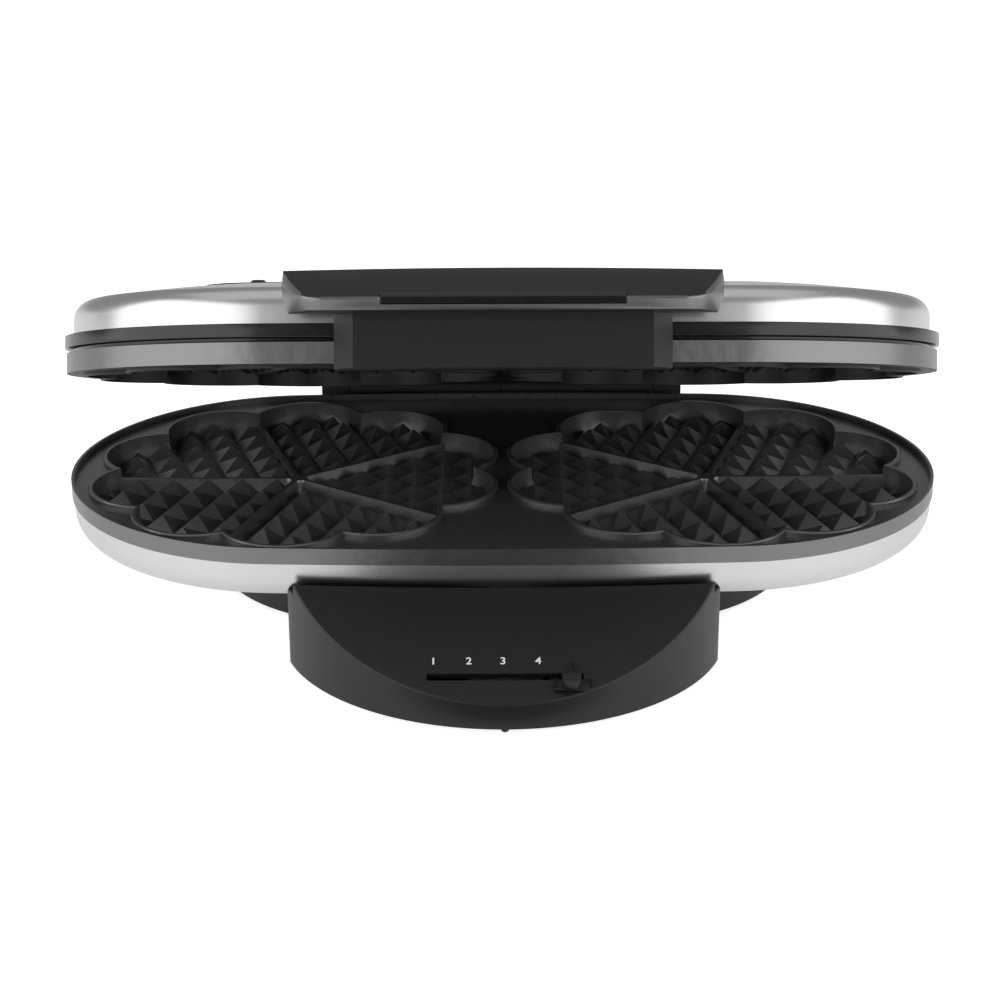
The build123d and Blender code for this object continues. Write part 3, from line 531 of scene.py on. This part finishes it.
# Faces that look to the front or sideways, not up or back, take the lighter finish: painted sheen.
on_drawing = ON_LID.inverted().to_3x3()
for face in grip.data.polygons:
    facing = on_drawing @ face.normal
    face.material_index = int(facing.z < 0.4 and facing.y < 0.3)

# ---- small fittings ----
# Screws, hinge pins, heaters with their clamps and heat shields, thermostat, lamps and feet. Most are
# inside or underneath, and all keep their CAD surface.
fittings = {
    "inner_sheet": material("plain_sheet", (0.5, 0.5, 0.51), 0.35, 1.0),
    "heater_sheath": material("dull_sheath", (0.3, 0.29, 0.28), 0.5, 1.0),
    "screw_steel": material("zinc_plating", (0.6, 0.6, 0.61), 0.3, 1.0),
    "foot_rubber": material("matt_rubber", (0.02, 0.02, 0.02), 0.8),
    "switch_white": material("white_moulding", (0.75, 0.74, 0.7), 0.4),
    "red_lens": material("red_lens", (0.03, 0.004, 0.004), 0.12),
    "green_lens": material("green_lens", (0.004, 0.02, 0.006), 0.12),
}
for slot, (finish, tree, shader) in fittings.items():
    roughness = shader.inputs["Roughness"].default_value
    grained(tree, shader, 700, 0.05, 0.0001, (roughness - 0.04, roughness + 0.06))
    for subpart in record["subparts"]:
        if subpart["material_slot"] == slot:
            fitting = nodes[subpart["node"]]
            fitting.data.materials.clear()
            fitting.data.materials.append(finish)

# ---- slider knob ----
# Satin black moulding in three parts: a thin foot with its ends turned up, a block for the finger
# that narrows towards the panel, and a thin ridge that points to the scale. It clips on the slider.
# Drawn on the panel: X along the slot, Y up the slope, Z out of the panel.
PANEL_TILT = atan(0.5)
SLOT_Y, SLOT_Z = MIDDLE_Y - 0.1283, JOINT_Z - 0.03105
ON_PANEL = Matrix.Translation((0, SLOT_Y, SLOT_Z)) @ Matrix.Rotation(PANEL_TILT, 4, "X")
FOOT_SIZE, FOOT_PLACE, EAR = (0.0114, 0.0048, 0.0010), (0.0237, -0.0044, 0.00085), 0.0010
FINGER_SIZE, FINGER_PLACE = (0.0070, 0.0036, 0.0066), (0.0231, -0.0050, 0.0039)
FRONT_SHARE, ROOT_SHARE = 0.92, 0.62
RIDGE_SIZE, RIDGE_PLACE = (0.0013, 0.0066, 0.0042), (0.0242, 0.0000, 0.0024)
TIP_SHARE, TIP_MOVE = (0.8, 1, 0.25), (0, 0.0030, -0.0016)
KNOB_EDGE = 0.0005


def started(size, place):
    """A block at its size and place on the panel."""
    bpy.ops.object.select_all(action="DESELECT")
    bpy.ops.mesh.primitive_cube_add(size=1, location=place, scale=size)
    bpy.ops.object.transform_apply(location=True, rotation=True, scale=True)
    bpy.ops.object.mode_set(mode="EDIT")
    bpy.ops.mesh.select_mode(type="FACE")
    bpy.ops.object.mode_set(mode="OBJECT")
    return bpy.context.object


def with_face(block, direction, shaping, **change):
    """Apply one shaping operator to the face that looks that way."""
    bpy.ops.object.mode_set(mode="EDIT")
    bpy.ops.mesh.select_all(action="DESELECT")
    bpy.ops.object.mode_set(mode="OBJECT")
    for face in block.data.polygons:
        face.select = face.normal.dot(Vector(direction)) > 0.9
    bpy.ops.object.mode_set(mode="EDIT")
    shaping(**change)
    bpy.ops.object.mode_set(mode="OBJECT")


knob_foot = started(FOOT_SIZE, FOOT_PLACE)
for side in (-1, 1):
    with_face(knob_foot, (side, 0, 0), bpy.ops.mesh.extrude_region_move,
              TRANSFORM_OT_translate={"value": (side * EAR, 0, EAR)})
finger = started(FINGER_SIZE, FINGER_PLACE)
with_face(finger, (0, -1, 0), bpy.ops.transform.resize, value=(FRONT_SHARE, 1, 1))
with_face(finger, (0, 0, -1), bpy.ops.transform.resize, value=(ROOT_SHARE, 1, 1))
knob = started(RIDGE_SIZE, RIDGE_PLACE)
with_face(knob, (0, 1, 0), bpy.ops.transform.resize, value=TIP_SHARE)
with_face(knob, (0, 1, 0), bpy.ops.transform.translate, value=TIP_MOVE)
for part in (knob_foot, finger):
    part.select_set(True)
bpy.ops.object.join()
knob.name = "knob"
ease_edges(knob, KNOB_EDGE, 3, 30)
fitted(knob, ON_PANEL, satin, "slider_knob", 40)

# ---- printed scale ----
# Four numbers in white ink, printed on the sloping panel above the slot. Only the print is drawn,
# a hair above the plastic.
FIGURES = {"1": -0.0251, "2": -0.0126, "3": -0.0006, "4": 0.0118}
FIGURE_SIZE, FIGURE_WEIGHT = 0.0044, 0.00006
ABOVE_SLOT, PRINT_LIFT = 0.0069, 0.00008
ink, tree, shader = material("white_print", (0.85, 0.85, 0.85), 0.5)
for figure, x in FIGURES.items():
    bpy.ops.object.text_add(location=ON_PANEL @ Vector((x, ABOVE_SLOT, PRINT_LIFT)),
                            rotation=(PANEL_TILT, 0, 0))
    number = bpy.context.object
    number.name = "number_" + figure
    number.data.body = figure
    number.data.size = FIGURE_SIZE
    number.data.offset = FIGURE_WEIGHT
    number.data.align_x = "CENTER"
    number.data.align_y = "CENTER"
    bpy.ops.object.convert(target="MESH")
    bpy.ops.object.transform_apply(location=True, rotation=True, scale=True)
    number.data.materials.append(ink)
    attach(number, "base")
